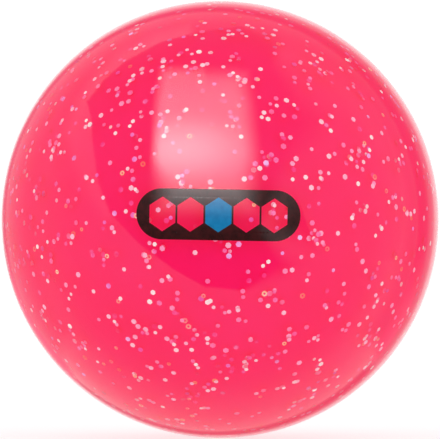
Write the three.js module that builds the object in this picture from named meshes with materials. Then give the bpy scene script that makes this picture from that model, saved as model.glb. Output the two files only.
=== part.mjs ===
// A smooth glitter field hockey ball.
// A hollow inner ball is welded from two moulded cups with a tongue and a groove round their rims.
// A clear glitter cover is fused round it from two half shells with a lap joint at the seam.
// Millimetres, +Z up, origin at the centre of the ball. The mould axis runs along Y, so the seams
// lie in the XZ plane, and the printed face of the ball is the pole that looks along -Y.
import * as THREE from 'three';

// Driving dimensions of the ball
const BALL_DIAMETER = 73; // a girth of 229 mm, where the rules of the game ask for 224 to 235 mm
const COVER_THICKNESS = 3.5; // clear layer that holds the glitter
const CORE_WALL = 6.6; // wall of the hollow inner ball, which sets the weight of the ball

// Room left where pieces are bonded or welded together
const BOND_GAP = 0.3; // between the cover and the inner ball
const JOINT_GAP = 0.3; // between the two halves of one layer

// Lap joint of the cover: a thin lip on the front half slides inside the back half
const LIP_THICKNESS = 1.6;
const LIP_HEIGHT = 3;

// Weld joint of the inner ball: a tongue on the front cup sits in a groove of the back cup
const TONGUE_WIDTH = 2.2;
const TONGUE_HEIGHT = 2.6;
const TONGUE_CHAMFER = 0.5;

// Facets of the round faces
const TURN_STEPS = 48; // round the mould axis
const ARC_STEPS = 12; // from a pole to the seam

// Radii of the layers, from the outside in
const coverOuter = BALL_DIAMETER / 2;
const coverInner = coverOuter - COVER_THICKNESS;
const coreOuter = coverInner - BOND_GAP;
const coreInner = coreOuter - CORE_WALL;

// The seam plane passes between the two halves, which stop half a gap short of it.
const rim = JOINT_GAP / 2;

const clearGlitter = new THREE.MeshStandardMaterial({
  color: 0xffb8c8,
  roughness: 0.06,
  metalness: 0,
  transparent: true,
  opacity: 0.35,
});
const pinkVinyl = new THREE.MeshStandardMaterial({ color: 0xff2a60, roughness: 0.35, metalness: 0 });

// An arc of a sphere's outline from its pole to a height beside the seam plane.
// side is -1 for the front pole and +1 for the back pole.
function arcFromPole(radius, side, height) {
  const pole = (side * Math.PI) / 2;
  const end = Math.asin(height / radius);
  const arc = new THREE.EllipseCurve(0, 0, radius, radius, pole, end, side > 0);
  const points = arc.getPoints(ARC_STEPS);
  points[0].x = 0;
  return points;
}

// One half of a hollow ball: an inner arc, the outline of the rim, and an outer arc, spun round Y.
// The rim's outline runs from the inner arc to the outer arc. Spun upwards along Y, an outline
// faces out, so the front half's, which starts at the top of its cup, is turned round.
function spinHalf(side, inner, rimOutline, outer) {
  const outline = [...inner, ...rimOutline, ...outer.reverse()];
  return new THREE.LatheGeometry(side < 0 ? outline.reverse() : outline, TURN_STEPS);
}

function piece(name, geometry, material) {
  const mesh = new THREE.Mesh(geometry, material);
  mesh.name = name;
  return mesh;
}

// Front half of the clear cover, with the lip that reaches past the seam into the back half.
function frontCover() {
  const lipOuter = coverInner + LIP_THICKNESS;
  const rimOutline = [
    new THREE.Vector2(coverInner, LIP_HEIGHT),
    new THREE.Vector2(lipOuter, LIP_HEIGHT),
    new THREE.Vector2(lipOuter, -rim),
  ];
  const inner = arcFromPole(coverInner, -1, 0);
  const outer = arcFromPole(coverOuter, -1, -rim);
  return piece('cover_half_front', spinHalf(-1, inner, rimOutline, outer), clearGlitter);
}

// Back half of the clear cover, rebated inside to take the lip of the front half.
function backCover() {
  const rebate = coverInner + LIP_THICKNESS + JOINT_GAP;
  const shoulder = LIP_HEIGHT + JOINT_GAP;
  const rimOutline = [new THREE.Vector2(rebate, shoulder), new THREE.Vector2(rebate, rim)];
  const inner = arcFromPole(coverInner, 1, shoulder);
  const outer = arcFromPole(coverOuter, 1, rim);
  return piece('cover_half_back', spinHalf(1, inner, rimOutline, outer), clearGlitter);
}

// The section of the weld tongue, which stands on the middle of the cup's wall.
// Grown by a gap, it is also the section of the groove.
function tongueOutline(base, grown) {
  const middle = (coreInner + coreOuter) / 2;
  const half = TONGUE_WIDTH / 2 + grown;
  const top = TONGUE_HEIGHT + grown;
  return [
    new THREE.Vector2(middle - half, base),
    new THREE.Vector2(middle - half, top - TONGUE_CHAMFER),
    new THREE.Vector2(middle - half + TONGUE_CHAMFER, top),
    new THREE.Vector2(middle + half - TONGUE_CHAMFER, top),
    new THREE.Vector2(middle + half, top - TONGUE_CHAMFER),
    new THREE.Vector2(middle + half, base),
  ];
}

// Front cup of the hollow inner ball, with the tongue round its rim.
function frontCup() {
  const inner = arcFromPole(coreInner, -1, -rim);
  const outer = arcFromPole(coreOuter, -1, -rim);
  return piece('core_cup_front', spinHalf(-1, inner, tongueOutline(-rim, 0), outer), pinkVinyl);
}

// Back cup of the hollow inner ball, with the groove that the tongue is welded into.
function backCup() {
  const inner = arcFromPole(coreInner, 1, rim);
  const outer = arcFromPole(coreOuter, 1, rim);
  return piece('core_cup_back', spinHalf(1, inner, tongueOutline(rim, JOINT_GAP), outer), pinkVinyl);
}

const hockeyBall = new THREE.Group();
const innerBall = new THREE.Group();
const cover = new THREE.Group();
innerBall.add(frontCup(), backCup());
cover.add(frontCover(), backCover());
hockeyBall.add(innerBall, cover);

export default hockeyBall;
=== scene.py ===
# %% [markdown]
# A pink glitter field hockey ball
#
# The ball is a hollow pink inner ball under a clear cover that is full of glitter flakes, with a small
# print on its front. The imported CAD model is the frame. Every piece made here sits where the frame's
# shells are, in metres, with the centre of the ball at the origin and the print on the side facing -Y.

# %% Load the frame
import math
import random

import bmesh
import bpy
from mathutils import Matrix, Vector, kdtree


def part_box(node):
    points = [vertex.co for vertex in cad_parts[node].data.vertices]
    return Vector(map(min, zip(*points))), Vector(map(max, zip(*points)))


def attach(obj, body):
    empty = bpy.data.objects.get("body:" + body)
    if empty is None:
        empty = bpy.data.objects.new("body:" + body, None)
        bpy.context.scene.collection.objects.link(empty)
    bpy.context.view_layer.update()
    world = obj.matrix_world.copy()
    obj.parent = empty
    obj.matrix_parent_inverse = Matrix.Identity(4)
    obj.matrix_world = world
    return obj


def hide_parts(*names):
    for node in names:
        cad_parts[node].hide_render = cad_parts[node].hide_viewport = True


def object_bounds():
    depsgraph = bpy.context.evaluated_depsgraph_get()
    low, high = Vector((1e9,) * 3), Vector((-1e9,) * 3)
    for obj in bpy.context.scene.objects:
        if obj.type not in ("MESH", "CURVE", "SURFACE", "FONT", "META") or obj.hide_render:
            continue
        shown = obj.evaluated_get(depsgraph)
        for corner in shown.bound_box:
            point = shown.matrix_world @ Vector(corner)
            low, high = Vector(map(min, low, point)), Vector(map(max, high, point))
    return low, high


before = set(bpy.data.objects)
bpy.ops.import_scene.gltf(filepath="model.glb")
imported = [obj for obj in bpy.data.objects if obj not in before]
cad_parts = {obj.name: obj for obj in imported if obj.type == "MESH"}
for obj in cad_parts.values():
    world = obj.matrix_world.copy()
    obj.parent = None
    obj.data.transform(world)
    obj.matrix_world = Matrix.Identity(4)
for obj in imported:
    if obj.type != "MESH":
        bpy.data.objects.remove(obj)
cad_low, cad_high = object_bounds()
MM = 0.001
ball_radius = cad_high.z
core_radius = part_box("core_cup_front")[1].z
tongue_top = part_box("core_cup_front")[1].y
print(f"ball {ball_radius / MM:.2f} mm and inner ball {core_radius / MM:.2f} mm in radius")

# %% [markdown]
# The photograph looks square at the print, and the ball fills the picture. A lens is found by trial, or
# worked out from the outline: seen from a distance, the edge of a ball stands at the angle whose sine is
# its radius over that distance. The picture's width is to that edge as its pixels are to the outline's.

# %% Camera
PHOTO_SIZE = (440, 439)
BALL_CENTRE_PIXEL = (219.5, 219.5)
BALL_RADIUS_PIXELS = 218.6
CAMERA_DISTANCE = 900 * MM
CAMERA_NEAREST = 100 * MM
QUARTER_TURN = math.radians(90)

edge_angle = math.asin(ball_radius / CAMERA_DISTANCE)
half_view = math.atan(math.tan(edge_angle) * PHOTO_SIZE[0] / 2 / BALL_RADIUS_PIXELS)
camera = bpy.data.objects.new("camera", bpy.data.cameras.new("camera"))
camera.data.lens = camera.data.sensor_width / 2 / math.tan(half_view)
camera.data.clip_start = CAMERA_NEAREST
camera.location = (0, -CAMERA_DISTANCE, 0)
camera.rotation_euler = (QUARTER_TURN, 0, 0)
bpy.context.scene.collection.objects.link(camera)
bpy.context.scene.camera = camera
bpy.context.scene.view_settings.view_transform = "Standard"
print(f"lens {camera.data.lens:.0f} mm")

# %% [markdown]
# Nothing on a moulded ball is one even colour. Vinyl clouds as it is stirred, film shifts in hue and ink
# lies thin in places. A painted image could show that, but one node group serves them all: it mixes two
# tones by a noise that is fixed to the ball, and each material gives it tones and a grain of its own.

# %% Node group for clouded colour
CLOUD_DETAIL = 2
CLOUD_NOISE = (0.35, 0.65)  # the middle of the noise, spread from one tone to the other


def clouded_colour_group():
    """A colour that wanders between two tones."""
    group = bpy.data.node_groups.new("clouded_colour", "ShaderNodeTree")
    group.interface.new_socket("Grain", in_out="INPUT", socket_type="NodeSocketFloat")
    group.interface.new_socket("Deep Tone", in_out="INPUT", socket_type="NodeSocketColor")
    group.interface.new_socket("Pale Tone", in_out="INPUT", socket_type="NodeSocketColor")
    group.interface.new_socket("Colour", in_out="OUTPUT", socket_type="NodeSocketColor")
    nodes, links = group.nodes, group.links
    given = nodes.new("NodeGroupInput")
    made = nodes.new("NodeGroupOutput")
    place = nodes.new("ShaderNodeTexCoord")
    noise = nodes.new("ShaderNodeTexNoise")
    spread = nodes.new("ShaderNodeMapRange")
    tones = nodes.new("ShaderNodeMix")
    noise.inputs["Detail"].default_value = CLOUD_DETAIL
    spread.inputs["From Min"].default_value = CLOUD_NOISE[0]
    spread.inputs["From Max"].default_value = CLOUD_NOISE[1]
    tones.data_type = "RGBA"
    links.new(place.outputs["Object"], noise.inputs["Vector"])
    links.new(given.outputs["Grain"], noise.inputs["Scale"])
    links.new(noise.outputs["Fac"], spread.inputs["Value"])
    links.new(spread.outputs["Result"], tones.inputs["Factor"])
    links.new(given.outputs["Deep Tone"], tones.inputs["A"])
    links.new(given.outputs["Pale Tone"], tones.inputs["B"])
    links.new(tones.outputs["Result"], made.inputs["Colour"])
    return group


clouded_colour = clouded_colour_group()
print("node group", clouded_colour.name)

# %% [markdown]
# The ball has been handled, so its gloss isn't quite even. One roughness all over would look like a
# drawing of a ball. A second group gives a roughness that wanders between two values, and the clear cover
# and the inks both use it.

# %% Node group for handled gloss
GLOSS_DETAIL = 4
GLOSS_NOISE = (0.3, 0.8)


def handled_gloss_group():
    """A roughness that wanders between polished and dulled."""
    group = bpy.data.node_groups.new("handled_gloss", "ShaderNodeTree")
    group.interface.new_socket("Grain", in_out="INPUT", socket_type="NodeSocketFloat")
    group.interface.new_socket("Polished", in_out="INPUT", socket_type="NodeSocketFloat")
    group.interface.new_socket("Dulled", in_out="INPUT", socket_type="NodeSocketFloat")
    group.interface.new_socket("Roughness", in_out="OUTPUT", socket_type="NodeSocketFloat")
    nodes, links = group.nodes, group.links
    given = nodes.new("NodeGroupInput")
    made = nodes.new("NodeGroupOutput")
    place = nodes.new("ShaderNodeTexCoord")
    noise = nodes.new("ShaderNodeTexNoise")
    gloss = nodes.new("ShaderNodeMapRange")
    noise.inputs["Detail"].default_value = GLOSS_DETAIL
    gloss.inputs["From Min"].default_value = GLOSS_NOISE[0]
    gloss.inputs["From Max"].default_value = GLOSS_NOISE[1]
    links.new(place.outputs["Object"], noise.inputs["Vector"])
    links.new(given.outputs["Grain"], noise.inputs["Scale"])
    links.new(noise.outputs["Fac"], gloss.inputs["Value"])
    links.new(given.outputs["Polished"], gloss.inputs["To Min"])
    links.new(given.outputs["Dulled"], gloss.inputs["To Max"])
    links.new(gloss.outputs["Result"], made.inputs["Roughness"])
    return group


handled_gloss = handled_gloss_group()
print("node group", handled_gloss.name)

# %% [markdown]
# Every finish here is a Principled shader. Values that are the same all over the surface are plain numbers
# on its sockets, and the groups feed only what changes over the surface, so that the model can be exported.

# %% Helpers for materials
def finish(name, values):
    """A new material with these plain values on its Principled shader."""
    material = bpy.data.materials.new(name)
    material.use_nodes = True
    shader = material.node_tree.nodes["Principled BSDF"]
    for socket, value in values.items():
        shader.inputs[socket].default_value = value
    return material, shader


def feed(material, group, values, output, socket):
    """Places a node group in a material, sets its inputs and links one output to a socket."""
    node = material.node_tree.nodes.new("ShaderNodeGroup")
    node.node_tree = group
    for name, value in values.items():
        node.inputs[name].default_value = value
    material.node_tree.links.new(node.outputs[output], socket)


# %% [markdown]
# A bmesh is a mesh in the making. When it is finished, it is written to an object that stays at the origin,
# with its place in its vertices. Pieces of the ball ride on the frame's one body, and the floor and the
# panels of the studio use only the first of these helpers.

# %% Helpers for pieces
def place_mesh(bm, name, material):
    """Writes a finished bmesh to an object at the origin."""
    mesh = bpy.data.meshes.new(name)
    bm.to_mesh(mesh)
    bm.free()
    mesh.materials.append(material)
    placed = bpy.data.objects.new(name, mesh)
    bpy.context.scene.collection.objects.link(placed)
    print(f"{name}: {len(mesh.polygons)} faces")
    return placed


def settle(bm, name, material, slot):
    """Makes a smooth piece of the ball that rides on its body; the slot it is given is not used."""
    piece = place_mesh(bm, name, material)
    piece.data.shade_smooth()
    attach(piece, "root")
    return piece


# %% [markdown]
# The inner ball is moulded in pink vinyl, which shows its clouds through the cover. It could be one flat
# pink, but two close tones keep it alive. The cover is bonded to it, so it has no gloss of its own.

# %% Pink vinyl
CORE_TONES = {"Deep Tone": (1.0, 0.12, 0.46, 1), "Pale Tone": (1.0, 0.145, 0.515, 1)}
CORE_GRAIN = 60  # clouds about 17 mm across
CORE_ROUGHNESS = 0.5

pink_vinyl, pink_shader = finish("pink_vinyl", {"Roughness": CORE_ROUGHNESS, "Specular IOR Level": 0.0})
pink_clouds = {"Grain": CORE_GRAIN, **CORE_TONES}
feed(pink_vinyl, clouded_colour, pink_clouds, "Colour", pink_shader.inputs["Base Color"])
print("material", pink_vinyl.name)

# %% [markdown]
# The inner ball comes in two cups, and a tongue round one rim is welded into a groove of the other. A cup
# could be half of a sphere with a wall, but the joint needs its own outline. So one vertex is spun into
# the outer arc, extruded along the rim, spun back along the inner arc, and the whole outline is then spun
# round the mould axis, as a potter throws a bowl.

# %% Inner ball cups
CORE_WALL = 6.6 * MM
TONGUE_WIDTH = 2.2 * MM
WELD_GAP = 0.03 * MM  # left at each rim, a fine line where the weld closed
TURN_STEPS = 128
ARC_STEPS = 32
SAME_PLACE = 0.001 * MM


def spin_arc(bm, corner, angle):
    """Draws an arc about the ball's centre, from a vertex in the YZ plane, and returns its last vertex."""
    arc = bmesh.ops.spin(bm, geom=[corner], cent=(0, 0, 0), axis=(1, 0, 0), angle=angle, steps=ARC_STEPS)
    return [v for v in arc["geom_last"] if isinstance(v, bmesh.types.BMVert)][0]


def extrude_to(bm, corner, height, radius):
    """Draws a straight line from a vertex to a height along the mould axis and a radius about it."""
    line = bmesh.ops.extrude_vert_indiv(bm, verts=[corner])
    line["verts"][0].co = (0, height, radius)
    return line["verts"][0]


def inner_ball_cup(name, side, rim, joint_top, joint_half):
    """One cup. side is -1 in front and 1 behind, and the joint runs from the rim to joint_top."""
    bm = bmesh.new()
    inner_radius = core_radius - CORE_WALL
    middle = (core_radius + inner_radius) / 2
    pole = bm.verts.new((0, side * core_radius, 0))
    corner = spin_arc(bm, pole, side * math.acos(abs(rim) / core_radius))
    for height, radius in (
        (rim, middle + joint_half),
        (joint_top, middle + joint_half),
        (joint_top, middle - joint_half),
        (rim, middle - joint_half),
        (rim, math.sqrt(inner_radius**2 - rim**2)),
    ):
        corner = extrude_to(bm, corner, height, radius)
    spin_arc(bm, corner, -side * math.acos(abs(rim) / inner_radius))
    bmesh.ops.spin(
        bm, geom=bm.verts[:] + bm.edges[:], cent=(0, 0, 0), axis=(0, 1, 0),
        angle=math.tau, steps=TURN_STEPS, use_merge=True,
    )
    bmesh.ops.remove_doubles(bm, verts=bm.verts[:], dist=SAME_PLACE)
    bmesh.ops.recalc_face_normals(bm, faces=bm.faces[:])
    return settle(bm, name, pink_vinyl, "pink_core")


tongue_half = TONGUE_WIDTH / 2
groove_half = tongue_half + WELD_GAP
front_cup = inner_ball_cup("inner_cup_front", -1, -WELD_GAP, tongue_top, tongue_half)
back_cup = inner_ball_cup("inner_cup_back", 1, WELD_GAP, tongue_top + WELD_GAP, groove_half)
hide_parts("core_cup_front")
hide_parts("core_cup_back")

# %% [markdown]
# The cover is clear vinyl, faintly pink through and polished outside. A clear plastic could be mixed from
# transparent and glossy shaders, but full transmission bends the light as the real cover does, and an
# absorption in the volume makes the tint stronger where the light's way through it is longer.

# %% Clear vinyl
WHITE = (1, 1, 1, 1)
COVER_INDEX = 1.45
COVER_TINT = (1.0, 0.217, 0.65, 1)
COVER_TINT_DENSITY = 300  # per metre
COVER_GLOSS = {"Grain": 45, "Polished": 0.02, "Dulled": 0.06}

clear_vinyl, clear_shader = finish("clear_vinyl", {
    "Base Color": WHITE,
    "Transmission Weight": 1.0,
    "IOR": COVER_INDEX,
})
feed(clear_vinyl, handled_gloss, COVER_GLOSS, "Roughness", clear_shader.inputs["Roughness"])
tint = clear_vinyl.node_tree.nodes.new("ShaderNodeVolumeAbsorption")
tint.inputs["Color"].default_value = COVER_TINT
tint.inputs["Density"].default_value = COVER_TINT_DENSITY
cover_output = clear_vinyl.node_tree.nodes["Material Output"]
clear_vinyl.node_tree.links.new(tint.outputs["Volume"], cover_output.inputs["Volume"])
print("material", clear_vinyl.name)

# %% [markdown]
# The two half shells of the cover are fused into one skin, and only a hair line is left round the ball
# where the moulds met. A sphere with its poles on the mould axis has a ring of edges just there, so cuts
# beside that ring and a small squeeze of it make the line. The cover is bonded to the inner ball, with no
# air between them. If its inner wall stopped short of the pink, light would bounce there and show a pale
# ring, so the wall is set a hair inside the pink, and rays pass straight on to it.

# %% Clear cover
COVER_TURNS = 192
SEAM_WIDTH = 0.3 * MM
SEAM_CUTS = (-1, -0.5, 0.5, 1)  # in widths of the seam, beside its ring
SEAM_DEPTH = 0.04 * MM
BOND_DEPTH = 0.05 * MM
poles_on_y = Matrix.Rotation(QUARTER_TURN, 4, "X")

cover = bmesh.new()
bmesh.ops.create_uvsphere(
    cover, u_segments=COVER_TURNS, v_segments=COVER_TURNS // 2, radius=ball_radius, matrix=poles_on_y
)
for cut in SEAM_CUTS:
    bmesh.ops.bisect_plane(
        cover, geom=cover.verts[:] + cover.edges[:] + cover.faces[:],
        plane_co=(0, cut * SEAM_WIDTH, 0), plane_no=(0, 1, 0),
    )
seam_ring = [v for v in cover.verts if abs(v.co.y) < SEAM_WIDTH / 4]  # nearer than any cut
seam_squeeze = 1 - SEAM_DEPTH / ball_radius
bmesh.ops.scale(cover, vec=(seam_squeeze, 1, seam_squeeze), verts=seam_ring)
inner_wall = bmesh.ops.create_uvsphere(
    cover, u_segments=COVER_TURNS, v_segments=COVER_TURNS // 2,
    radius=core_radius - BOND_DEPTH, matrix=poles_on_y,
)
inner_faces = {face for v in inner_wall["verts"] for face in v.link_faces}
bmesh.ops.reverse_faces(cover, faces=list(inner_faces))
clear_cover = settle(cover, "clear_cover", clear_vinyl, "clear_cover")
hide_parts("cover_half_front", "cover_half_back")

# %% [markdown]
# The glitter is stamped from metallised film in a few tints. A mirror finish would show the flakes either
# white or nearly black. Real film is a little pearly, so a share of it scatters light as paint does.

# %% Glitter films
FILM_METAL = 0.82
FILM_ROUGHNESS = 0.3
FILM_GRAIN = 700  # shifts about 1.4 mm across, so that neighbours differ
FILM_TONES = {
    "silver": {"Deep Tone": (0.98, 0.84, 0.82, 1), "Pale Tone": (1.0, 0.98, 0.93, 1)},
    "pink": {"Deep Tone": (0.95, 0.1, 0.36, 1), "Pale Tone": (1.0, 0.3, 0.58, 1)},
    "lilac": {"Deep Tone": (0.85, 0.35, 0.8, 1), "Pale Tone": (0.95, 0.6, 0.95, 1)},
    "gold": {"Deep Tone": (1.0, 0.48, 0.22, 1), "Pale Tone": (1.0, 0.78, 0.5, 1)},
}


def glitter_film(tint_name):
    """The finish of one tint of film."""
    material, shader = finish(f"{tint_name}_film", {"Metallic": FILM_METAL, "Roughness": FILM_ROUGHNESS})
    tones = {"Grain": FILM_GRAIN, **FILM_TONES[tint_name]}
    feed(material, clouded_colour, tones, "Colour", shader.inputs["Base Color"])
    return material


films = {tint_name: glitter_film(tint_name) for tint_name in FILM_TONES}
print("films", ", ".join(films))

# %% [markdown]
# The flakes were stirred into the vinyl, so they lie anywhere on the ball and at any depth, nearly flat,
# some in clumps. A scatter modifier could spread them, but a few lines with a seeded random number show
# each choice: a direction from the centre, then now and then a step sideways to a neighbour.

# %% Places for the flakes
FLAKE_SEED = 20
FLAKE_LEAN = math.radians(7)
CLUMP_SIZES = (1, 2, 3, 4)
CLUMP_SHARES = (72, 20, 6, 2)
CLUMP_STEP = (0.95 * MM, 1.4 * MM)

draw = random.Random(FLAKE_SEED)


def any_direction():
    """A direction from the ball's centre, each as likely as any other."""
    height = draw.uniform(-1, 1)
    turn = draw.uniform(0, math.tau)
    ring = math.sqrt(1 - height**2)
    return Vector((ring * math.cos(turn), ring * math.sin(turn), height))


def clump_directions():
    """One to four directions, a flake's width or so apart."""
    direction = any_direction()
    for _ in range(draw.choices(CLUMP_SIZES, CLUMP_SHARES)[0]):
        yield direction
        sideways = direction.cross(any_direction()).normalized()
        direction = (direction + sideways * draw.uniform(*CLUMP_STEP) / ball_radius).normalized()


def flake_place(direction, depth):
    """Lays a flake flat at a depth under the surface, then gives it a lean and a turn of its own."""
    flat = direction.to_track_quat("Z", "Y").to_matrix().to_4x4()
    turned = Matrix.Rotation(draw.uniform(0, math.tau), 4, "Z")
    leaned = Matrix.Rotation(draw.uniform(-FLAKE_LEAN, FLAKE_LEAN), 4, "X")
    spun = Matrix.Rotation(draw.uniform(0, math.tau), 4, "Z")
    return Matrix.Translation(direction * (ball_radius - depth)) @ flat @ turned @ leaned @ spun


# %% [markdown]
# A flake is a six-sided piece of film up to a millimetre across, and the gold ones have a hole. Dots in a
# texture would be quick, but flakes that really lie at different depths catch the light one by one, turn
# pinker the deeper they lie, and narrow to dashes near the ball's edge. Each is a flat hexagon made solid.

# %% Glitter flakes
FLAKE_COUNT = 2950
FLAKE_SIDES = 6
FLAKE_WIDTH = (0.64 * MM, 1.0 * MM)
FLAKE_THICKNESS = 0.05 * MM
FLAKE_HOLE = 0.4  # of a gold flake's width
SHALLOWEST = 0.1 * MM
ABOVE_CORE = 0.3 * MM
DEEPEST = ball_radius - core_radius - ABOVE_CORE
DEPTH_POWER = 1.3  # over 1 leaves more flakes near the surface
FILM_SHARES = {"silver": 62, "pink": 27, "lilac": 5, "gold": 6}
FILM_SLOTS = {
    "silver": "silver_glitter", "pink": "pink_glitter", "lilac": "pink_glitter", "gold": "gold_glitter"
}


def lay_flake(bm, width, place, holed):
    """Lays one flat hexagon, with or without a hole through it."""
    if not holed:
        bmesh.ops.create_circle(bm, cap_ends=True, segments=FLAKE_SIDES, radius=width / 2, matrix=place)
        return
    rims = set()
    for radius in (width / 2, FLAKE_HOLE * width / 2):
        ring = bmesh.ops.create_circle(bm, segments=FLAKE_SIDES, radius=radius, matrix=place)
        rims.update(edge for v in ring["verts"] for edge in v.link_edges)
    bmesh.ops.bridge_loops(bm, edges=list(rims))


flakes = {tint_name: bmesh.new() for tint_name in FILM_SHARES}
laid = 0
while laid < FLAKE_COUNT:
    for direction in clump_directions():
        tint_name = draw.choices(list(FILM_SHARES), list(FILM_SHARES.values()))[0]
        depth = SHALLOWEST + (DEEPEST - SHALLOWEST) * draw.random() ** DEPTH_POWER
        place = flake_place(direction, depth)
        lay_flake(flakes[tint_name], draw.uniform(*FLAKE_WIDTH), place, tint_name == "gold")
        laid += 1
for tint_name, bm in flakes.items():
    bmesh.ops.solidify(bm, geom=bm.faces[:], thickness=FLAKE_THICKNESS)
    glitter = settle(bm, f"glitter_{tint_name}", films[tint_name], FILM_SLOTS[tint_name])
    glitter.data.shade_flat()
print(f"{laid} flakes")

# %% [markdown]
# The print is a thin film of two inks on the polished cover, a warm black and a blue. Flat colour would
# look like a hole in the ball, so each ink has two close tones, where it lies thick and thin, and a gloss
# that isn't quite even.
# Black all through, the film would also shade the pink under it, which the real print hardly does. So it
# lies on a white undercoat, as printers use on a coloured ball, which sends the light in the cover back.
# The mesh says where its underside is, by an attribute.

# %% Inks
INK_GRAIN = 900  # about 1.1 mm across
INK_GLOSS = {"Grain": 300, "Polished": 0.08, "Dulled": 0.16}
BLACK_INK_TONES = {"Deep Tone": (0.035, 0.002, 0.003, 1), "Pale Tone": (0.065, 0.005, 0.007, 1)}
BLUE_INK_TONES = {"Deep Tone": (0.0, 0.23, 0.55, 1), "Pale Tone": (0.005, 0.29, 0.64, 1)}
UNDERCOAT = (0.92, 0.92, 0.92, 1)


def ink(name, tones):
    """The finish of one ink, over a white undercoat."""
    material, shader = finish(name, {})
    nodes, links = material.node_tree.nodes, material.node_tree.links
    underside = nodes.new("ShaderNodeAttribute")
    coats = nodes.new("ShaderNodeMix")
    underside.attribute_name = "underside"
    coats.data_type = "RGBA"
    coats.inputs["B"].default_value = UNDERCOAT
    feed(material, clouded_colour, {"Grain": INK_GRAIN, **tones}, "Colour", coats.inputs["A"])
    links.new(underside.outputs["Fac"], coats.inputs["Factor"])
    links.new(coats.outputs["Result"], shader.inputs["Base Color"])
    feed(material, handled_gloss, INK_GLOSS, "Roughness", shader.inputs["Roughness"])
    print("material", name)
    return material


black_ink = ink("black_ink", BLACK_INK_TONES)
blue_ink = ink("blue_ink", BLUE_INK_TONES)

# %% [markdown]
# The mark is a black bar with round ends and a row of six-sided gaps through it, the middle one filled
# with blue. Each shape could be a mesh cut from another, but a flat curve fills an outline with holes by
# itself, so the mark is first drawn as outlines, in metres across and up from its middle.

# %% Outlines of the printed mark
BAR_LENGTH = 26.4 * MM
BAR_HEIGHT = 8.2 * MM
GAP_COUNT = 5
GAP_PITCH = 4.5 * MM
GAP_WIDTH = 4.2 * MM
GAP_HEIGHT = 5.6 * MM
ROUND_STEPS = 24


def round_ended_bar():
    """The outline of the bar, one round end after the other."""
    radius = BAR_HEIGHT / 2
    reach = BAR_LENGTH / 2 - radius
    for end in (1, -1):
        for step in range(ROUND_STEPS + 1):
            turn = math.pi * step / ROUND_STEPS - math.pi / 2
            yield end * (reach + radius * math.cos(turn)), end * radius * math.sin(turn)


def six_sided_gap(centre):
    """The outline of a gap that stands on one corner."""
    right, left = centre + GAP_WIDTH / 2, centre - GAP_WIDTH / 2
    top, shoulder = GAP_HEIGHT / 2, GAP_HEIGHT / 4
    upper = [(right, shoulder), (centre, top), (left, shoulder)]
    lower = [(left, -shoulder), (centre, -top), (right, -shoulder)]
    return upper + lower


bar = list(round_ended_bar())
gaps = [six_sided_gap((n - (GAP_COUNT - 1) / 2) * GAP_PITCH) for n in range(GAP_COUNT)]
print(f"a bar of {len(bar)} points and {len(gaps)} gaps")

# %% [markdown]
# Ink takes the curve of the ball that it is printed on. A flat sheet could be shrink-wrapped, but its long
# edges would cut the corner. So the filled outline is made a mesh and cut into short edges, each vertex is
# moved onto the ball, and the sheet is given the thickness of ink, partly sunk in the cover.

# %% Printed mark
PRINT_CENTRE = (-0.25 * MM, 0.75 * MM)
PRINT_TURN = math.radians(1)
INK_FILM = 0.035 * MM
INK_PROUD = 0.015 * MM
INK_EDGE = 0.5 * MM
INK_SHARP = math.radians(40)


def filled_outlines(name, outlines):
    """A flat mesh that fills outlines, and leaves open those that lie inside another."""
    curve = bpy.data.curves.new(name, "CURVE")
    curve.dimensions = "2D"
    curve.fill_mode = "BOTH"
    for outline in outlines:
        spline = curve.splines.new("POLY")
        spline.points.add(len(outline) - 1)
        spline.use_cyclic_u = True
        for corner, (across, up) in zip(spline.points, outline):
            corner.co = (across, up, 0, 1)
    flat = bpy.data.objects.new(name, curve)
    bm = bmesh.new()
    bm.from_mesh(bpy.data.meshes.new_from_object(flat))
    bpy.data.objects.remove(flat)
    return bm


def cut_small(bm, longest):
    """Cuts a sheet into triangles with no edge longer than this."""
    bmesh.ops.triangulate(bm, faces=bm.faces[:])
    while long_edges := [e for e in bm.edges if e.calc_length() > longest]:
        bmesh.ops.subdivide_edges(bm, edges=long_edges, cuts=1)
        bmesh.ops.triangulate(bm, faces=bm.faces[:])


def print_on_ball(name, outlines, material, slot):
    """Bends filled outlines onto the ball and gives them the thickness of ink."""
    bm = filled_outlines(name, outlines)
    cut_small(bm, INK_EDGE)
    upright = Matrix.Rotation(QUARTER_TURN, 4, "X")
    turned = Matrix.Rotation(PRINT_TURN, 4, "Y")
    placed = Matrix.Translation((PRINT_CENTRE[0], 0, PRINT_CENTRE[1]))
    bmesh.ops.transform(bm, matrix=placed @ turned @ upright, verts=bm.verts[:])
    bmesh.ops.recalc_face_normals(bm, faces=bm.faces[:])
    for v in bm.verts:
        v.co.y = -math.sqrt(ball_radius**2 - v.co.x**2 - v.co.z**2)
        v.co = v.co.normalized() * (ball_radius + INK_PROUD)
    if sum(face.normal.y for face in bm.faces) > 0:
        bmesh.ops.reverse_faces(bm, faces=bm.faces[:])
    bm.normal_update()
    bmesh.ops.solidify(bm, geom=bm.faces[:], thickness=INK_FILM)
    underside = bm.faces.layers.float.new("underside")
    for face in bm.faces:
        face[underside] = all(v.co.length < ball_radius for v in face.verts)
    piece = settle(bm, name, material, slot)
    piece.data.set_sharp_from_angle(angle=INK_SHARP)


print_on_ball("print_black", [bar, *gaps], black_ink, "black_print")
print_on_ball("print_blue", [gaps[GAP_COUNT // 2]], blue_ink, "blue_print")

# %% [markdown]
# The ball lies on a plain floor that runs out white, as on a photographer's table. More light would whiten
# it, but would bleach the ball too. So the floor itself is grey and takes the ball's shadow, and a glow
# that only the camera, gloss and glass see, by Light Path, lifts it to white.

# %% Floor
FLOOR_HALF = 3.0
FLOOR_TONE = (0.28, 0.28, 0.28, 1)
FLOOR_ROUGHNESS = 0.9
FLOOR_GLOW = 0.74

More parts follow.
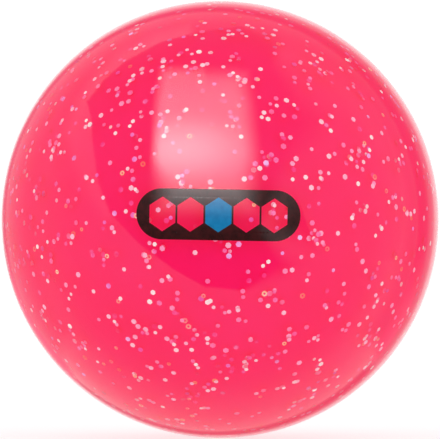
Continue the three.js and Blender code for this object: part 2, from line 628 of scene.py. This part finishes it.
floor_paint, floor_shader = finish("floor_paint", {
    "Base Color": FLOOR_TONE,
    "Roughness": FLOOR_ROUGHNESS,
    "Specular IOR Level": 0.0,
    "Emission Color": WHITE,
})
floor_paint.cycles.emission_sampling = "NONE"
floor_nodes, floor_links = floor_paint.node_tree.nodes, floor_paint.node_tree.links
floor_ray = floor_nodes.new("ShaderNodeLightPath")
seen_or_mirrored = floor_nodes.new("ShaderNodeMath")
seen_at_all = floor_nodes.new("ShaderNodeMath")
floor_glow = floor_nodes.new("ShaderNodeMapRange")
seen_or_mirrored.operation = "MAXIMUM"
seen_at_all.operation = "MAXIMUM"
floor_glow.inputs["To Max"].default_value = FLOOR_GLOW
floor_links.new(floor_ray.outputs["Is Camera Ray"], seen_or_mirrored.inputs[0])
floor_links.new(floor_ray.outputs["Is Glossy Ray"], seen_or_mirrored.inputs[1])
floor_links.new(seen_or_mirrored.outputs["Value"], seen_at_all.inputs[0])
floor_links.new(floor_ray.outputs["Is Transmission Ray"], seen_at_all.inputs[1])
floor_links.new(seen_at_all.outputs["Value"], floor_glow.inputs["Value"])
floor_links.new(floor_glow.outputs["Result"], floor_shader.inputs["Emission Strength"])

floor_bm = bmesh.new()
under_the_ball = Matrix.Translation((0, 0, -ball_radius))
bmesh.ops.create_grid(floor_bm, x_segments=1, y_segments=1, size=FLOOR_HALF, matrix=under_the_ball)
floor = place_mesh(floor_bm, "floor", floor_paint)

# %% [markdown]
# The light is that of a white tent, soft and the same from all round. Lamps could be set about the ball,
# but each would show as a spot in its gloss, so the world itself gives the light.

# %% Light of the white tent
TENT_STRENGTH = 1.05

world = bpy.data.worlds.new("white_tent")
world.use_nodes = True
tent = world.node_tree.nodes["Background"]
tent.inputs["Color"].default_value = WHITE
tent.inputs["Strength"].default_value = TENT_STRENGTH
bpy.context.scene.world = world
print(f"white light of strength {TENT_STRENGTH} from all round")

# %% [markdown]
# Light that has entered the clear cover bounces between the pink and the skin a few times before it finds
# a way out. Cut short, or blurred by the filter that calms glossy noise, it would leave the ball too dark.

# %% Light inside the cover
DIFFUSE_BOUNCES = 8
GLOSSY_BOUNCES = 8
ALL_BOUNCES = 16

path_limits = bpy.context.scene.cycles
path_limits.blur_glossy = 0
path_limits.diffuse_bounces = DIFFUSE_BOUNCES
path_limits.glossy_bounces = GLOSSY_BOUNCES
path_limits.max_bounces = ALL_BOUNCES
print(f"light may bounce {ALL_BOUNCES} times")

# %% [markdown]
# What a glossy ball mirrors is as much a part of its look as its colour. The tent has an opening for the
# camera and panels about the ball, and they could be placed by trial. But at each point of the picture
# the ball mirrors one direction of the room, so an outline is drawn in the picture, and each corner is
# then thrown out along its direction, until it is far off or on the floor.

# %% Places that the ball mirrors
FLOOR_CLEARANCE = 0.4 * MM  # of a panel a metre off


def mirrored_place(pixel, distance):
    """The place in the room that the ball mirrors to the camera at a pixel, and how far off it is."""
    across = (pixel.x - BALL_CENTRE_PIXEL[0]) / BALL_RADIUS_PIXELS
    up = (BALL_CENTRE_PIXEL[1] - pixel.y) / BALL_RADIUS_PIXELS
    facing = Vector((across, -math.sqrt(1 - across**2 - up**2), up))
    way = Vector((0, 1, 0)).reflect(facing)
    distance -= facing.y * ball_radius  # turns the panel square to the light that it sends
    if way.z < 0:
        clearance = FLOOR_CLEARANCE / distance  # a nearer panel lies higher
        distance = min(distance, (ball_radius + up * ball_radius - clearance) / -way.z)
    return facing * ball_radius + way * distance, distance


# %% [markdown]
# A panel in the room has a soft edge where it is out of focus or turns away. It could be blurred in a
# painted image. Here each vertex keeps how far inside the edge it is, which the material turns into a
# glow that melts away, and it keeps its place in the picture as a UV map.

# %% Panels drawn in the picture
RING_STEPS = 180


def drawn(outline):
    """A flat sheet with this outline, in pixels of the picture."""
    bm = bmesh.new()
    bm.faces.new([bm.verts.new((*corner, 0)) for corner in outline])
    return bm


def drawn_ring(*circles):
    """A flat sheet between two circles, each with a middle and a radius in pixels."""
    bm = bmesh.new()
    for across, down, radius in circles:
        place = Matrix.Translation((across, down, 0))
        bmesh.ops.create_circle(bm, segments=RING_STEPS, radius=radius, matrix=place)
    bmesh.ops.bridge_loops(bm, edges=bm.edges[:])
    return bm


def store_picture_place(bm):
    """Keeps where each corner is in the picture."""
    picture = bm.loops.layers.uv.new("picture")
    for face in bm.faces:
        for corner in face.loops:
            corner[picture].uv = corner.vert.co.xy


def store_fade(bm, softness):
    """Keeps on each vertex how far inside the edge it is, from 0 on the edge to 1 where softness ends."""
    edge_places = [v.co for v in bm.verts if v.is_boundary]
    near_edge = kdtree.KDTree(len(edge_places))
    for number, place in enumerate(edge_places):
        near_edge.insert(place, number)
    near_edge.balance()
    fade = bm.verts.layers.float.new("fade")
    for v in bm.verts:
        v[fade] = min(1, near_edge.find(v.co)[2] / softness(v.co))


# %% [markdown]
# The sheet is then thrown out into the room and set up so that only gloss sees it. It lights nothing else
# and casts no shadow, which is left to the tent and the floor. Where it lies on the floor almost under the
# ball, a sheet would graze the ball itself, so it melts away as it gets near, and what is nearer still is
# cut off.

# %% Panels in the room
PANEL_EDGE = 4  # pixels
NEAREST_PANEL = 25 * MM
MELTING_SHARE = 0.6  # of that distance, over which a panel melts away


def mirrored_panel(name, bm, softness, distance, glow, nearest=NEAREST_PANEL):
    """Throws a sheet that is drawn in pixels out into the room, where only gloss sees it."""
    cut_small(bm, PANEL_EDGE)
    store_fade(bm, softness)
    store_picture_place(bm)
    fade = bm.verts.layers.float["fade"]
    for v in bm.verts:
        v.co, reach = mirrored_place(v.co, distance)
        v[fade] = min(v[fade], (reach / nearest - 1) / MELTING_SHARE)
    too_near = [v for v in bm.verts if v[fade] < 0]
    bmesh.ops.delete(bm, geom=too_near, context="VERTS")
    panel = place_mesh(bm, name, glow)
    panel.visible_camera = False
    panel.visible_diffuse = False
    panel.visible_transmission = False
    panel.visible_shadow = False


# %% [markdown]
# A panel is black and glows by itself, so its brightness is exactly the number given. Its Alpha follows
# the stored distance from the edge, and it melts into what lies behind it. Some panels also change in
# brightness across or down the picture, which two more helpers add.

# %% Glow of a panel
BLACK = (0, 0, 0, 1)


def soft_glow(name, strength, tint=WHITE):
    """A glow that melts away at the panel's edge."""
    material, shader = finish(name, {
        "Base Color": BLACK,
        "Specular IOR Level": 0.0,
        "Emission Color": tint,
        "Emission Strength": strength,
    })
    material.cycles.emission_sampling = "NONE"
    nodes, links = material.node_tree.nodes, material.node_tree.links
    fade = nodes.new("ShaderNodeAttribute")
    melt = nodes.new("ShaderNodeMapRange")
    fade.attribute_name = "fade"
    melt.interpolation_type = "SMOOTHSTEP"
    links.new(fade.outputs["Fac"], melt.inputs["Value"])
    links.new(melt.outputs["Result"], shader.inputs["Alpha"])
    return material, shader


def grade(material, socket, axis, limits, strengths):
    """Lets a strength change between two columns, along X, or two rows, along Y, of the picture."""
    nodes, links = material.node_tree.nodes, material.node_tree.links
    place = nodes.new("ShaderNodeUVMap")
    along = nodes.new("ShaderNodeSeparateXYZ")
    change = nodes.new("ShaderNodeMapRange")
    place.uv_map = "picture"
    change.inputs["From Min"].default_value = limits[0]
    change.inputs["From Max"].default_value = limits[1]
    change.inputs["To Min"].default_value = strengths[0]
    change.inputs["To Max"].default_value = strengths[1]
    links.new(place.outputs["UV"], along.inputs["Vector"])
    links.new(along.outputs[axis], change.inputs["Value"])
    links.new(change.outputs["Result"], socket)


def graded_glow(name, axis, limits, strengths, tint=WHITE):
    """A soft glow whose strength changes across or down the picture."""
    material, shader = soft_glow(name, strengths[0], tint)
    grade(material, shader.inputs["Emission Strength"], axis, limits, strengths)
    return material


# %% [markdown]
# Most of the ball mirrors the pale walls at the sides of the tent, and lower down the table top in front
# of the ball, which gets less light. Both are one ring round the middle of the picture that darkens
# downwards and melts away where the floor close to the ball is bright again.

# %% Pale wall and table top
PALE_WALL_DISTANCE = 0.9
PALE_WALL_GLOW = 0.84
PALE_WALL_CIRCLES = ((219.5, 219.5, 30), (211.5, 213.5, 190))
TABLE_GLOW = 0.7
TABLE_ROWS = (260, 330)
TABLE_SOFTNESS = 30
TABLE_NEAREST = 6 * MM


def pale_softness(place):
    """Soft only on the table, where nothing lies over the panel's edge."""
    return PANEL_EDGE if place.y < TABLE_ROWS[0] else TABLE_SOFTNESS


pale_glow = graded_glow("pale_wall", "Y", TABLE_ROWS, (PALE_WALL_GLOW, TABLE_GLOW))
pale_ring = drawn_ring(*PALE_WALL_CIRCLES)
mirrored_panel("pale_wall", pale_ring, pale_softness, PALE_WALL_DISTANCE, pale_glow, TABLE_NEAREST)

# %% [markdown]
# In the middle the ball mirrors the dark room beyond the tent's opening, in which the camera stands. Its
# edge is crisp on the left and melts away on the right, and it gets darker downwards.

# %% Dark room
DARK_ROOM_DISTANCE = 0.6
DARK_ROOM = (
    (86, 103), (104, 81), (127, 61), (160, 43), (196, 33), (240, 27), (285, 33), (286, 62), (310, 88),
    (340, 118), (322, 150), (290, 182), (266, 228), (290, 247), (318, 260), (292, 281), (245, 291),
    (205, 287), (173, 269), (139, 244), (111, 215), (98, 182), (93, 145), (91, 118),
)
DARK_GLOWS = (0.41, 0.05)
DARKENING_ROWS = (180, 258)
DARK_ROOM_SOFTNESS = (2.5, 38)
MELTING_COLUMNS = (240, 300)


def share_between(start, end, value):
    """0 up to start, 1 from end on, and an even rise from one to the other."""
    return min(1, max(0, (value - start) / (end - start)))


def dark_room_softness(place):
    """Grows from crisp to melted between two columns of the picture."""
    crisp, melted = DARK_ROOM_SOFTNESS
    return crisp + share_between(*MELTING_COLUMNS, place.x) * (melted - crisp)


dark_glow = graded_glow("dark_room", "Y", DARKENING_ROWS, DARK_GLOWS)
mirrored_panel("dark_room", drawn(DARK_ROOM), dark_room_softness, DARK_ROOM_DISTANCE, dark_glow)

# %% [markdown]
# The left and upper edges of the opening catch the light and show as a pale band beside the dark room.
# This frame stands a little behind the dark room's panel, which covers the half of it that would fall
# inside the opening.

# %% Frame of the opening
OPENING_FRAME_DISTANCE = 0.65
OPENING_FRAME = (
    (60, 132), (73, 97), (93, 70), (118, 48), (154, 30), (193, 20), (205, 52), (168, 64), (142, 80),
    (120, 98), (106, 120), (106, 150), (114, 190), (126, 226), (102, 226), (80, 196), (66, 164),
)
OPENING_FRAME_SOFTNESS = 16
OPENING_FRAME_GLOW = 1.2

frame_glow, _ = soft_glow("opening_frame", OPENING_FRAME_GLOW)
frame_sheet = drawn(OPENING_FRAME)
mirrored_panel(
    "opening_frame", frame_sheet, lambda place: OPENING_FRAME_SOFTNESS, OPENING_FRAME_DISTANCE, frame_glow
)

# %% [markdown]
# In the dark room stands a tall window, the brightest thing that the ball mirrors. It is dimmer at its
# top, soft at its sides and foot, and has a bright spot low on its left, where most of the sky shows in.

# %% Window
WINDOW_DISTANCE = 100 * MM
WINDOW = (
    (157, 68), (168, 65), (234, 65), (252, 69), (258, 105), (263, 150), (264, 190), (262, 222), (150, 222),
    (147, 185), (149, 150), (151, 105),
)
WINDOW_SOFTNESS = {"left": 14, "right": 24, "foot": 40}
WINDOW_MIDDLE = 205
WINDOW_FOOT_ROWS = (160, 195)
WINDOW_GLOWS = (3, 4.9)
WINDOW_TOP_ROWS = (68, 106)
WINDOW_SPOT = (181, 150)
WINDOW_SPOT_RADIUS = 43
WINDOW_SPOT_STRETCH = 2.1
WINDOW_SPOT_GLOW = 12


def window_softness(place):
    """Softer on the right than on the left, and softest where the window fades out at its foot."""
    side = WINDOW_SOFTNESS["left"] if place.x < WINDOW_MIDDLE else WINDOW_SOFTNESS["right"]
    return side + share_between(*WINDOW_FOOT_ROWS, place.y) * (WINDOW_SOFTNESS["foot"] - side)


window_glow, window_shader = soft_glow("window", WINDOW_GLOWS[1])
window_nodes, window_links = window_glow.node_tree.nodes, window_glow.node_tree.links
picture_place = window_nodes.new("ShaderNodeUVMap")
spot_shape = window_nodes.new("ShaderNodeMapping")
from_spot = window_nodes.new("ShaderNodeVectorMath")
spot_fade = window_nodes.new("ShaderNodeMapRange")
picture_place.uv_map = "picture"
spot_shape.inputs["Scale"].default_value = (1 / WINDOW_SPOT_STRETCH, 1, 1)
from_spot.operation = "DISTANCE"
from_spot.inputs[1].default_value = (WINDOW_SPOT[0] / WINDOW_SPOT_STRETCH, WINDOW_SPOT[1], 0)
spot_fade.interpolation_type = "SMOOTHSTEP"
spot_fade.inputs["From Max"].default_value = WINDOW_SPOT_RADIUS
spot_fade.inputs["To Min"].default_value = WINDOW_SPOT_GLOW
grade(window_glow, spot_fade.inputs["To Max"], "Y", WINDOW_TOP_ROWS, WINDOW_GLOWS)
window_links.new(picture_place.outputs["UV"], spot_shape.inputs["Vector"])
window_links.new(spot_shape.outputs["Vector"], from_spot.inputs[0])
window_links.new(from_spot.outputs["Value"], spot_fade.inputs["Value"])
print("material", window_glow.name)

# %% [markdown]
# Seen from behind, such a bright window would bleach the top of the ball. Studios fix a honeycomb grid on
# a lamp, which lets its light out only nearly straight ahead. A real grid would be thousands of cells, so
# Layer Weight shuts the light off by how far it leans from straight ahead.

# %% Window grid
GRID_OPEN = 1 - math.cos(math.radians(8))
GRID_SHUT = 1 - math.cos(math.radians(16))
GRID_BLEND = 0.5  # at which Facing is one minus the cosine of the lean

lean = window_nodes.new("ShaderNodeLayerWeight")
grid = window_nodes.new("ShaderNodeMapRange")
gridded_glow = window_nodes.new("ShaderNodeMath")
lean.inputs["Blend"].default_value = GRID_BLEND
grid.inputs["From Min"].default_value = GRID_OPEN
grid.inputs["From Max"].default_value = GRID_SHUT
grid.inputs["To Min"].default_value = 1
grid.inputs["To Max"].default_value = 0
gridded_glow.operation = "MULTIPLY"
window_links.new(lean.outputs["Facing"], grid.inputs["Value"])
window_links.new(spot_fade.outputs["Result"], gridded_glow.inputs[0])
window_links.new(grid.outputs["Result"], gridded_glow.inputs[1])
window_links.new(gridded_glow.outputs["Value"], window_shader.inputs["Emission Strength"])
mirrored_panel("window", drawn(WINDOW), window_softness, WINDOW_DISTANCE, window_glow)

# %% [markdown]
# Near its edge the ball mirrors what is behind it: a grey wall, a shaded strip of it that is brighter low
# down, and past that the white tent, which is left as a bright crescent on the right. The wall and the
# strip are two rings whose circles aren't quite centred on the ball. The strip's shade is painted into its
# glow, and both carry a painted pink tinge for the light that comes off the pink ball.

# %% Walls behind the ball
GREY_WALL_DISTANCE = 0.8
GREY_WALL_GLOWS = (0.9, 0.7)
# painted pink light, as if bounced off the ball onto the grey wall
GREY_WALL_PINK_BOUNCE = (1.0, 0.69, 0.74, 1)
GREY_WALL_COLUMNS = (220, 380)
GREY_WALL_CIRCLES = ((219.5, 219.5, 172), (217.8, 219.7, 216.4))
GREY_WALL_INNER = 195  # pixels from the ball's centre, up to which the wall's inner softness holds
GREY_WALL_SOFTNESS = (22, 4)
SHADED_WALL_DISTANCE = 0.7
# painted shade: the strip glows less than the grey wall, more low down
SHADED_WALL_GLOWS = (0.7, 1.3)
# painted pink light, as if bounced off the ball onto the shaded strip
SHADED_WALL_PINK_BOUNCE = (1.0, 0.36, 0.46, 1)
SHADED_WALL_ROWS = (250, 310)
SHADED_WALL_CIRCLES = ((211, 218.5, 203.5), (215, 219.8, 213.6))
SHADED_WALL_SOFTNESS = 4


def grey_wall_softness(place):
    """Soft towards the middle of the picture and crisp beside the ball's edge."""
    from_centre = place - Vector((*BALL_CENTRE_PIXEL, 0))
    return GREY_WALL_SOFTNESS[0] if from_centre.length < GREY_WALL_INNER else GREY_WALL_SOFTNESS[1]


grey_glow = graded_glow("grey_wall", "X", GREY_WALL_COLUMNS, GREY_WALL_GLOWS, GREY_WALL_PINK_BOUNCE)
grey_ring = drawn_ring(*GREY_WALL_CIRCLES)
mirrored_panel("grey_wall", grey_ring, grey_wall_softness, GREY_WALL_DISTANCE, grey_glow)

shade_glow = graded_glow("shaded_wall", "Y", SHADED_WALL_ROWS, SHADED_WALL_GLOWS, SHADED_WALL_PINK_BOUNCE)
shade_ring = drawn_ring(*SHADED_WALL_CIRCLES)
mirrored_panel(
    "shaded_wall", shade_ring, lambda place: SHADED_WALL_SOFTNESS, SHADED_WALL_DISTANCE, shade_glow
)

# %% [markdown]
# At the ball's foot the floor lies in the ball's shadow, and what light it gets comes off the pink ball.
# Beside the bright edge that shows as a thin dark line, which the glowing floor would wash out. So one more
# ring lies on the floor there, a painted shadow with a painted pink tinge that only gloss sees, and it is
# so soft further up that it can't be seen.

# %% Shadow at the foot
FOOT_SHADOW_DISTANCE = 4.0
# painted shadow: a dim glow that stands in for the ball's shadow on the floor
FOOT_SHADOW_GLOW = 0.58
# painted pink light, as if bounced off the ball into its shadow
FOOT_SHADOW_PINK_BOUNCE = (1.0, 0.48, 0.55, 1)
FOOT_SHADOW_CIRCLES = ((213.9, 221.6, 206.5), (218.4, 221.8, 214.3))
FOOT_SHADOW_SOFTNESS = (40, 4)
FOOT_SHADOW_ROWS = (310, 370)
FOOT_SHADOW_NEAREST = 1.2 * MM


def foot_shadow_softness(place):
    """Crisp at the foot and very soft further up."""
    soft, crisp = FOOT_SHADOW_SOFTNESS
    return soft + share_between(*FOOT_SHADOW_ROWS, place.y) * (crisp - soft)


foot_glow, _ = soft_glow("foot_shadow", FOOT_SHADOW_GLOW, FOOT_SHADOW_PINK_BOUNCE)
foot_ring = drawn_ring(*FOOT_SHADOW_CIRCLES)
mirrored_panel(
    "foot_shadow", foot_ring, foot_shadow_softness, FOOT_SHADOW_DISTANCE, foot_glow, FOOT_SHADOW_NEAREST
)
